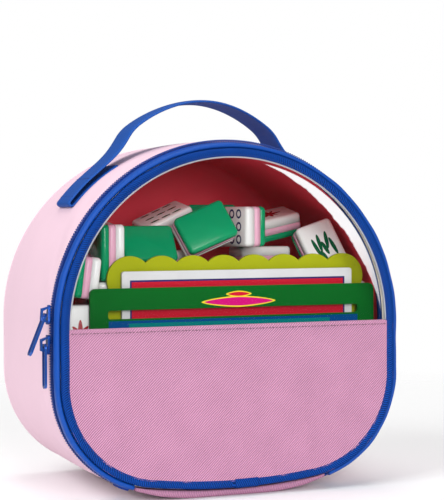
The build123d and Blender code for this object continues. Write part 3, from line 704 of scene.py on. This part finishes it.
bend = np.linspace(0, pi / 2, 9)
ring_s = np.linspace(0, ROUND, 300, endpoint=False)
shrink = 1 - np.linspace(0.03, 0.97, 30)
middle = np.array([0.0, 0.0, 95.0])
points, uv = disc_sheet(
    WALL_GROW - 9 * (1 - np.cos(bend)), 109.1 + 8.9 * np.sin(bend), middle, shrink, ring_s,
    lambda x, z, k: (1 - k) * (1.4 + 0.35 * waves(x, (1, 77, 0.4)) * waves(z, (1, 63, 1.0))))
back = disc_piece("back_cover", points, uv, 2.0, -1.0, replaces=("back_panel", "back_foam"),
                  **PALE_CLOTH)
rim_tube("back_seam_cord", oval((6.1, 108.6), (0.7, 0.65), 2.2, 12), 0, ROUND, 3.0, **PALE_CLOTH)


def lining_folds(x, z, k):
    """Folds of the loose lining across the upper right, and gentle slack elsewhere."""
    across = (x - 20) * 0.55 - (z - 150) * 0.83
    fold = 1.5 * np.exp(-((across / 7) ** 2)) + 1.1 * np.exp(-(((across + 19) / 5) ** 2))
    place = np.clip((x + 10) / 40, 0, 1) * np.clip((z - 95) / 30, 0, 1)
    return -(fold * place + 0.5 * waves(x + z, (1, 90, 0.2))) * np.clip((1 - k) * 6, 0, 1)


lining_grow = np.concatenate([np.full(40, LINING_GROW), LINING_GROW - 5 * (1 - np.cos(bend[1:]))])
lining_depth = np.concatenate([np.linspace(13.4, 106.5, 40), 106.5 + 5.2 * np.sin(bend[1:])])
points, uv = disc_sheet(lining_grow, lining_depth, middle, shrink, ring_s, lining_folds)
disc_piece("lining_bag", points, uv, 0.35, 1.0, body="case_body", slot="crimson_lining",
           material=lining_cloth, replaces=("gusset_lining", "back_lining", "back_seam_binding"))

mouth = np.array([(4.3, 12.9), (4.3, 12.1), (3.0, 12.0), (1.8, 12.1), (1.45, 12.7), (1.4, 15.0),
                  (1.45, 16.5), (1.75, 16.7), (1.95, 16.4), (1.95, 13.6), (2.2, 13.2), (3.4, 13.2)])
rim_tube("mouth_trim", mouth, 0, ROUND, 3.0, body="case_body", slot="blue_trim",
         material=rib_binding, replaces=("mouth_binding",))


def base_piece(name, half, near, far, top_grow, rows, nose, **facts):
    """A strip of the underside: its floor line below and the outline's underside above, joined
    into a closed section across the depth whose front edge is rounded."""
    x = np.linspace(-half, half, 90)[:, None]
    y = np.linspace(0, 1, rows)
    low = np.concatenate([y, y[::-1]])[None]
    upper = np.concatenate([np.zeros(rows), np.ones(rows)])[None]
    depth = near + (far - near) * low
    bottom, top = floor_z(x), low_z(x, top_grow)
    before = np.clip(1 - (depth - near) / nose, 0, 1)
    round_off = nose * (1 - np.sqrt(1 - before**2))
    soft = 0.12 * waves(x + depth, (1, 33, 0.4)) * (np.abs(x) > 22)
    z = np.where(upper > 0.5, top, np.minimum(bottom + round_off + np.abs(soft), top - 0.2))
    points = spread(x, FRONT + depth, z)
    run = np.concatenate([y, 2 - y[::-1]]) * (far - near)
    return tube(name, points, spread(x, run), False, **facts)


base_piece("base_cover", 55.7, WALL_FRONT, WALL_BACK, 4.9, 30, 1.0, replaces=("base_panel",),
           **PALE_CLOTH)
hinge = base_piece("hinge_fold", 54.0, 3.3, 12.9, 4.6, 14, 2.2, body=None, slot="pink_canvas",
                   material=hinge_canvas, replaces=("hinge_strip",))
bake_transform(hinge)

tab_section = np.array([(7.6, 9.6), (7.9, 10.2), (7.9, 20.4), (7.6, 21.0), (6.7, 21.0), (6.6, 14.0),
                        (4.6, 13.2), (4.6, 9.8), (6.4, 9.4)])
tab_from, tab_to = (distance_at(half, 7) for half in TAB_HALVES)
for name, start in (("zip_tab_right", tab_from), ("zip_tab_left", ROUND - tab_to)):
    rim_tube(name, tab_section, start, start + tab_to - tab_from, 0.8, body="case_body",
             slot="blue_trim", material=trim_blue, replaces=("zip_end_tabs",))

# ---- handle ----

HANDLE_DEPTH, STRAP_WIDTH, STRAP_THICK = 55.0, 25.0, 1.4
CROWN_R, SHOULDER_R, CROWN_A = 62.0, 24.0, radians(38.0)
CROWN_Z = 212.0 - STRAP_THICK / 2 - CROWN_R
LEAVE_A = radians(30)  # of the shoulder's end, from the horizontal
WALL_R = ARCH + 6.6  # of the wall under the webbing's ends
LAYER_LIFT, LOOP_R = 0.75, 1.35
UPPER_LIFT = LAYER_LIFT + 2 * LOOP_R
SWEEP_X, LOOP_X, TAIL_X = 65.0, 74.5, 50.0


def strap_line():
    """Middle line of the webbing's right half in X and Z, from the crown's top: the crown, a
    shoulder arc, an S-shaped sweep (a cubic Hermite curve) down to the wall, a run along it, a
    small open loop, and the layer that comes back underneath."""
    crown = np.linspace(pi / 2, pi / 2 - CROWN_A, 34)
    line = [spread(CROWN_R * np.cos(crown), CROWN_Z + CROWN_R * np.sin(crown))]
    shoulder = (CROWN_R - SHOULDER_R) * np.array([sin(CROWN_A), cos(CROWN_A)]) + (0, CROWN_Z)
    arc = np.linspace(pi / 2 - CROWN_A, LEAVE_A, 12)[1:]
    line.append(shoulder + SHOULDER_R * spread(np.cos(arc), np.sin(arc)))
    turn = np.arcsin(SWEEP_X / WALL_R)
    start = line[-1][-1]
    end = np.array([sin(turn), cos(turn)]) * (WALL_R + UPPER_LIFT + 0.5) + (0, ARCH_Z)
    leave = np.array([sin(LEAVE_A), -cos(LEAVE_A)])
    arrive = np.array([cos(turn), -sin(turn)])
    chord = np.linalg.norm(end - start)
    t = np.linspace(0, 1, 40)[1:, None]
    line.append((2 * t**3 - 3 * t**2 + 1) * start + (t**3 - 2 * t**2 + t) * 1.15 * chord * leave
                + (3 * t**2 - 2 * t**3) * end + (t**3 - t**2) * 1.5 * chord * arrive)
    last = np.arcsin(LOOP_X / WALL_R)
    along = np.linspace(turn, last, 14)[1:]
    lift = UPPER_LIFT + 0.5 * (1 - (along - turn) / (last - turn))
    line.append(around_wall(along, lift))
    bend = np.linspace(pi / 2, -pi / 2, 12)[1:-1]
    line.append(around_wall(last + LOOP_R * np.cos(bend) / WALL_R,
                            LAYER_LIFT + LOOP_R + LOOP_R * np.sin(bend)))
    back = np.linspace(last, np.arcsin(TAIL_X / WALL_R), 24)
    line.append(around_wall(back, LAYER_LIFT))
    return np.concatenate(line)


def around_wall(turn, lift):
    """Points over the arch at angles from straight up, lifted off the wall."""
    return spread(np.sin(turn) * (WALL_R + lift), ARCH_Z + np.cos(turn) * (WALL_R + lift))


right = strap_line()
line = np.concatenate([(right * (-1, 1))[::-1], right[1:]])
ahead = unit(np.gradient(line, axis=0))
normal = spread(-ahead[:, 1], ahead[:, 0])
run = run_along(line)
# Its section is a flat strip with rounded selvedges, cupped and wavy where the loop hangs free
side = np.linspace(-1, 1, 13)
height = STRAP_THICK / 2 * np.sqrt(1 - 0.85 * np.abs(side) ** 24)
across = np.concatenate([side, side[::-1]]) * STRAP_WIDTH / 2
height = np.concatenate([height, -height[::-1]])
free = smooth_step((line[:, 1, None] - 172.0) / 14.0)
out = height + free * (waves(run, (0.3, 63, 0.6))[:, None] - 0.7 * (across * 2 / STRAP_WIDTH) ** 2)
sway = free * waves(run, (0.6, 90, 0.8))[:, None]
points = spread(line[:, 0, None] + out * normal[:, 0, None], FRONT + HANDLE_DEPTH + across + sway,
                line[:, 1, None] + out * normal[:, 1, None])
uv = spread(run[:, None], run_along(spread(across, height)))
handle = tube("handle_webbing", points, uv, False, body=None, slot="blue_webbing",
              material=webbing_blue,
              replaces=("handle_loop", "handle_end_left", "handle_end_right"))
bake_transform(handle)
for name, side in (("strap_stitch_left", -1), ("strap_stitch_right", 1)):
    turn = side * np.arcsin(np.array([63.5, 72.5]) / WALL_R)
    turn, y = (v.ravel() for v in np.meshgrid(turn, np.arange(-10.8, 10.9, 1.8)))
    out = spread(np.sin(turn), 0, np.cos(turn))
    tangent = spread(np.cos(turn), 0, -np.sin(turn))
    at = out * (WALL_R + UPPER_LIFT + STRAP_THICK / 2
                + 0.5 * (np.abs(turn) < np.arcsin(0.7)))[:, None]
    at[:, 1] = FRONT + HANDLE_DEPTH + y
    at[:, 2] += ARCH_Z
    stitches(name, at, np.tile((0.0, 1.0, 0.0), (len(at), 1)), tangent, out, (1.3, 0.4, 0.4),
             body="case_body", slot="blue_webbing", material=thread_navy)

# ---- tiles ----

TILE = np.array([30.0, 22.0, 13.0])
LAYERS = -6.5, -2.5, 1.3, 6.5  # where a tile's back, core and face begin, and its top
BACK_TO_FACE = 8.4  # between the middles of the back and the face


def solids_of(node):
    """The separate solids of a node, as arrays of corner points in millimetres."""
    work = bmesh.new()
    work.from_mesh(nodes[node].data)
    bmesh.ops.remove_doubles(work, verts=work.verts, dist=1e-5)
    work.verts.ensure_lookup_table()
    seen, groups = set(), []
    for first in work.verts:
        if first.index in seen:
            continue
        seen.add(first.index)
        stack, group = [first], []
        while stack:
            vertex = stack.pop()
            group.append(tuple(vertex.co))
            for edge in vertex.link_edges:
                other = edge.other_vert(vertex)
                if other.index not in seen:
                    seen.add(other.index)
                    stack.append(other)
        groups.append(np.array(group) / MM)
    work.free()
    return groups


def tile_places():
    """Centre and three axes of each tile: up from its back layer to its face, and long along the
    widest spread of its face. The back is the nearby one that lies best under the face."""
    backs = solids_of("tile_backs")
    middles = np.array([(back.min(0) + back.max(0)) / 2 for back in backs])
    places = []
    for face in solids_of("tile_faces"):
        near = np.argsort(np.linalg.norm(middles - (face.min(0) + face.max(0)) / 2, axis=1))
        axes = main_axes(face)
        back = min((backs[k] for k in near[:4]), key=lambda back: tile_mismatch(back, face))
        up = unit(face.mean(0) - back.mean(0))
        long = axes[:, 2] - up * (axes[:, 2] @ up)
        long = unit(long) * (1 if long[2] >= 0 else -1)
        wide = np.cross(up, long)
        ends = [(face @ v).min() + (face @ v).max() for v in (long, wide)]
        top = (face @ up).max()
        places.append((long * ends[0] / 2 + wide * ends[1] / 2 + up * (top - TILE[2] / 2),
                       np.stack([long, wide, up])))
    return places


def main_axes(points):
    """Principal axes of a cloud of points, as columns, from the thinnest to the longest."""
    offsets = points - points.mean(0)
    return np.linalg.eigh(offsets.T @ offsets)[1]


def tile_mismatch(back, face):
    """How far a back is from lying straight under a face, along the face's thin axis."""
    thin = main_axes(face)[:, 0]
    gap = back.mean(0) - face.mean(0)
    along = gap @ thin
    return abs(abs(along) - BACK_TO_FACE) + np.linalg.norm(gap - along * thin)


def tile_shell(low, high):
    """One coloured layer of a rounded tile, between two heights: rings of a rounded rectangle that
    shrink towards the tile's face or back along a quarter circle."""
    radius, corner = 1.9, 2.6
    t = full_turn(28) + pi / 28
    half = TILE / 2
    heights = [low, high]
    if low <= -half[2] + 0.01:
        turn = np.linspace(0, pi / 2, 4)
        heights = list(-half[2] + radius * (1 - np.sin(turn)))[::-1] + [high]
    if high >= half[2] - 0.01:
        turn = np.linspace(0, pi / 2, 5)
        heights = [low] + list(half[2] - radius * (1 - np.sin(turn)))
    rings = []
    for z in heights:
        inset = radius - sqrt(max(0.0, radius**2 - max(0.0, abs(z) - (half[2] - radius)) ** 2))
        reach = half[:2] - corner
        turn_r = corner - inset
        rings.append(spread(np.sign(np.cos(t)) * reach[0] + turn_r * np.cos(t),
                            np.sign(np.sin(t)) * reach[1] + turn_r * np.sin(t), z))
    return np.array(rings)


def tile_layer(name, low, high, **facts):
    """That layer at every tile's place, each stack of rings closed by its two flat ends."""
    rings = tile_shell(low, high)
    rows, columns = rings.shape[:2]
    base = quads(rows, columns, wrap_columns=True)
    points, faces, uv = [], [], []
    for index, (centre, axes) in enumerate(places):
        first = index * rows * columns
        points.append(centre + rings.reshape(-1, 3) @ axes)
        uv.append(rings.reshape(-1, 3)[:, :2] + (100.0 * index, 0))
        faces += (base + first).tolist() + caps(first, first + (rows - 1) * columns, columns)
    new_piece(name, np.concatenate(points), faces, np.concatenate(uv), body="case_body", **facts)


places = tile_places()
LEAF_PLACE = (65.5, FRONT + 33.2, ARCH_Z + 38)
leaf_tile = int(np.argmin([np.linalg.norm(centre - LEAF_PLACE) for centre, _ in places]))


def engraved_resin():
    """White resin with painted engraving: a tile's map runs from its own middle, 100 mm apart from
    the next tile's. Rings, bars or a rosette by turns, and a spray of leaves on one tile."""
    white = (0.75, 0.75, 0.735)
    made = recipe("engraved_resin", white, 0.18, Specular_IOR_Level=0.35)
    u, y, _ = made.map_xyz()
    number = made.math("FLOOR", made.over(made.add(u, 50.0), 100.0))
    x = made.fused(number, -100.0, u)

    def cell(value, size=7.0):
        """A coordinate from the middle of the square cell that it falls in."""
        return made.take(made.math("MODULO", made.add(value, 10.5 * size), size), size / 2)

    def oval_mask(cx, cy, half_x, half_y, turn=0.0, px=x, py=y):
        """1 inside an oval that is turned about its centre, and 0 outside."""
        dx, dy = made.take(px, cx), made.take(py, cy)
        c, k = cos(turn), sin(turn)
        along = made.add(made.times(dx, c / half_x), made.times(dy, k / half_x))
        beside = made.take(made.times(dy, c / half_y), made.times(dx, k / half_y))
        square = made.add(made.times(along, along), made.times(beside, beside))
        return made.below(square, 1.0)

    def both(*masks):
        return reduce(made.times, masks)

    def either(*masks):
        return reduce(made.higher, masks)

    inside = both(made.below(made.size(x), 10.5), made.below(made.size(y), 10.2))
    gx, gy = cell(x), cell(y)
    rings = both(oval_mask(0, 0, 2.6, 2.6, 0, gx, gy),
                 made.take(1.0, oval_mask(0, 0, 1.5, 1.5, 0, gx, gy)))
    bars = oval_mask(0, 0, 2.9, 0.9, 0, gx, gy)
    rosette = either(oval_mask(0, 0, 7.5, 1.4), oval_mask(0, 0, 1.4, 6.0),
                     oval_mask(0, 0, 6.0, 1.2, 0.8), oval_mask(0, 0, 6.0, 1.2, -0.8))
    leaves = either(*(oval_mask(cx, cy, half, 1.15, turn) for cx, cy, half, turn in (
        (0.5, 4.6, 5.6, 0.12), (2.4, 1.8, 5.4, -0.10), (-1.2, -0.4, 4.2, 0.16),
        (3.0, -3.0, 5.2, -0.22), (-1.5, -5.4, 5.4, 0.10), (-5.0, 2.2, 3.2, 0.3))))
    leaf = made.math("COMPARE", number, float(leaf_tile), 0.2)
    plain = made.take(1.0, leaf)
    kind = made.math("MODULO", number, 3.0)
    first, second, third = (made.math("COMPARE", kind, float(k), 0.2) for k in range(3))
    tone = made.mix(both(inside, first, plain, rings), white, (0.02, 0.03, 0.10))
    tone = made.mix(both(inside, second, plain, bars), tone, (0.0, 0.10, 0.035))
    tone = made.mix(both(third, plain, rosette), tone, (0.35, 0.01, 0.02))
    made.set("Base Color", made.mix(both(leaf, leaves), tone, (0.004, 0.085, 0.03)))
    return made.owner


resin_green = plastic("resin_green", (0.0, 0.27, 0.105), 0.16, Specular_IOR_Level=0.3)
resin_pink = plastic("resin_pink", (0.72, 0.38, 0.50), 0.2, Specular_IOR_Level=0.3)
tile_layer("tile_back_layer", *LAYERS[:2], slot="green_resin", material=resin_green,
           replaces=("tile_backs",))
tile_layer("tile_core_layer", *LAYERS[1:3], slot="pink_resin", material=resin_pink,
           replaces=("tile_cores",))
tile_layer("tile_face_layer", *LAYERS[2:], slot="white_resin", material=engraved_resin(),
           replaces=("tile_faces",))

# ---- metal and printed boards ----


def paint(material, *names):
    """Give nodes of the frame a material of this script's."""
    for name in names:
        nodes[name].data.materials.clear()
        nodes[name].data.materials.append(material)


paint(blue_enamel, "zip_slider_upper", "zip_slider_lower", "zip_pull_upper", "zip_pull_lower")
paint(plated_steel, "inner_zip_slider", "inner_zip_pull")


def printed_card(name, color, panels=(), ovals=()):
    """Satin printed board: rectangles and then ovals of colour laid over each other, each by its
    centre and half sizes. An oval is |x/a|^1.5 + |z/b|^1.5 < 1, pointed at its ends."""
    made = recipe(name, color, 0.35, Specular_IOR_Level=0.03)
    x, y, z = made.map_xyz("Object", 1000.0)
    tone = made.mix(made.noise((x, y, z), 0.1), shade(color, 0.94), shade(color, 1.04))
    for centre, half, ink in panels:
        past = [made.take(made.size(made.take(v, middle)), reach)
                for v, middle, reach in zip((x, z), centre, half)]
        tone = made.mix(made.below(made.higher(*past), 0.0), tone, ink)
    for centre, half, ink in ovals:
        part = [made.math("POWER", made.size(made.over(made.take(v, middle), reach)), 1.5)
                for v, middle, reach in zip((x, z), centre, half)]
        tone = made.mix(made.below(made.add(*part), 1.0), tone, ink)
    made.set("Base Color", tone)
    return made.owner


def card_face(box):
    """Middle and half sizes of a board's face, across and up."""
    low, high = (np.array(v)[[0, 2]] / MM for v in box)
    return (low + high) / 2, (high - low) / 2


BLUE_INK, TEAL_INK, YELLOW_INK = (0.0, 0.06, 0.22), (0.0, 0.17, 0.17), (0.80, 0.62, 0.03)
NAVY_INK, RED_INK = (0.03, 0.02, 0.12), (0.50, 0.010, 0.028)
middle, half = card_face(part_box("white_card"))
paint(printed_card("white_board", (0.60, 0.60, 0.61), [
    (middle, half - (4.3, 4.6), NAVY_INK), (middle, half - (5.3, 5.6), RED_INK)]), "white_card")
middle, half = card_face(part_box("green_card"))
panel_top = middle[1] + half[1] - 16.0  # under the slot
paint(printed_card("green_board", (0.001, 0.11, 0.012), [
    ((middle[0], panel_top - 12), (72.0, 11.0), BLUE_INK),
    ((middle[0] - 3, panel_top - 13), (58.0, 10.6), TEAL_INK)], [
    ((7.5, ARCH_Z + 11.6), (21.5, 3.0), YELLOW_INK),
    ((7.5, ARCH_Z + 11.6), (19.8, 2.3), (0.58, 0.006, 0.17)),
    ((7.5, ARCH_Z + 15.6), (7.5, 1.7), YELLOW_INK),
    ((7.5, ARCH_Z + 15.6), (6.3, 1.1), (0.55, 0.008, 0.03))]), "green_card")
paint(printed_card("lime_board", (0.34, 0.37, 0.008)), "lime_card")

# ---- stage, light and camera ----


def floor_paper():
    """Pale paper that fades out with distance, so that it has no far edge."""
    made = recipe("floor_paper", (0.94, 0.94, 0.94), 0.95, Specular_IOR_Level=0.0)
    x, y, _ = made.map_xyz("Object")
    faded = made.clip(made.over(made.take(made.reach(x, y), 0.22), 0.4))
    made.set("Alpha", made.take(1.0, faded))
    return made.owner


floor_mesh = bpy.data.meshes.new("floor")
floor_mesh.from_pydata([(-6, -6, 0), (6, -6, 0), (6, 6, 0), (-6, 6, 0)], [], [(0, 1, 2, 3)])
floor_mesh.materials.append(floor_paper())
floor = put("floor", floor_mesh)

# White behind the piece, and dimmer where it only lights or is mirrored
sky = Recipe(bpy.data.worlds.new("studio"), "Background", Color=(1.0, 1.0, 1.0))
bpy.context.scene.world = sky.owner
ray = sky.node("ShaderNodeLightPath").outputs
seen = sky.higher(ray["Is Camera Ray"], ray["Is Transmission Ray"])
strength = sky.node("ShaderNodeMapRange", {"Value": seen, "To Min": 0.46, "To Max": 1.0})
sky.set("Strength", sky.fused(ray["Is Glossy Ray"], -0.25, strength.outputs[0]))


def soft_lamp(name, place, target, size, power):
    """A square area lamp that faces a target."""
    data = bpy.data.lights.new(name, "AREA")
    data.size, data.energy = size, power
    lamp = put(name, data)
    lamp.location = place
    lamp.rotation_euler = (Vector(target) - Vector(place)).to_track_quat("-Z", "Y").to_euler()


soft_lamp("key", (-1.2, -0.5, 1.0), (0, 0, 0.1), 0.9, 14)
soft_lamp("front_fill", (-0.1, -1.6, 0.55), (0, 0, 0.1), 0.8, 17)
soft_lamp("top", (0.1, 0.2, 1.5), (0, 0, 0.1), 1.0, 7)

camera_data = bpy.data.cameras.new("camera")
camera_data.lens = 108.4
camera = put("camera", camera_data)
camera.location = (-0.3019, -0.7896, 0.1477)
camera.rotation_euler = (radians(90 - 1.28), radians(0.24), radians(-21.95))
bpy.context.scene.camera = camera
bpy.context.scene.view_settings.view_transform = "Standard"
